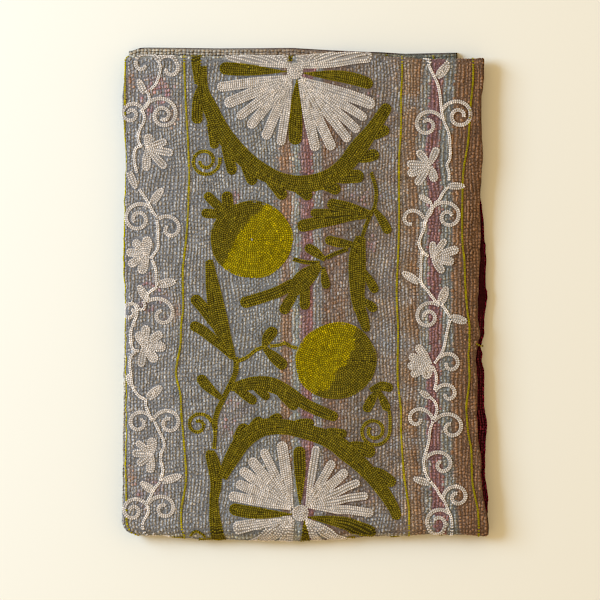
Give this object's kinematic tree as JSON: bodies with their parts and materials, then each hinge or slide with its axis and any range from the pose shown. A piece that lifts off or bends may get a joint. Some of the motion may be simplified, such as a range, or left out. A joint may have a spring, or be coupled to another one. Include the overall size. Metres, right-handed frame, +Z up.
{
  "type": "folded kantha quilt",
  "caption": "Cotton kantha quilt, folded in half and then in three, lying flat with its running stitches and chain-stitch embroidery up.",
  "frame": {"origin": "on the surface that the folded quilt lies on, under the middle of its bounding box", "axes": "+X across the folded quilt, from its left fold to its open edge, +Y along it to the end where the hem peeks out, +Z up"},
  "size_m": [0.477, 0.6429, 0.0284],
  "materials": {
    "face_cotton": "sun-faded striped cotton, matt",
    "back_cotton": "plain maroon cotton, matt"
  },
  "bodies": {
    "root": {"face_cloth": "face_cotton", "back_cloth": "back_cotton"}
  },
  "joints": []
}
